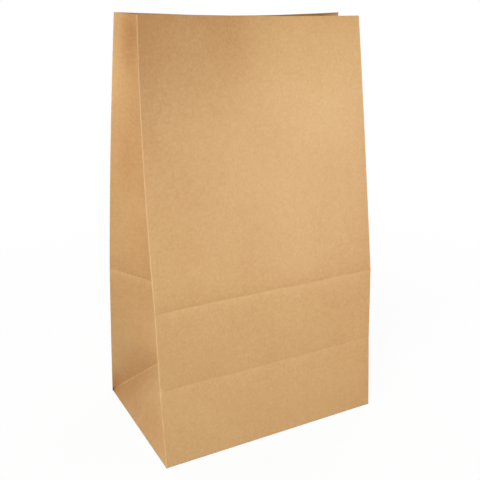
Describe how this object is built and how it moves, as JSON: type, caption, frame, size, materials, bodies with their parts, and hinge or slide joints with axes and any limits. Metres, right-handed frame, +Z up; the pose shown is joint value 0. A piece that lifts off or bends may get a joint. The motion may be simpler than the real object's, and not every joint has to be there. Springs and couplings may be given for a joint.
{
  "type": "paper bag",
  "caption": "Plain brown kraft block-bottom paper bag, standing open, with folded-in side gussets, a flat glued base and a straight-cut mouth.",
  "frame": {"origin": "middle of the base, on the ground", "axes": "+Z up from the base to the mouth, the wide front panel faces -Y, and the gussets are at -X and +X"},
  "size_m": [0.217, 0.1401, 0.368],
  "materials": {
    "kraft_paper": "uncoated brown kraft paper, matt, with fine mottled fibres, soft creases and no print"
  },
  "bodies": {
    "root": {"paper_bag": "kraft_paper"}
  },
  "joints": []
}
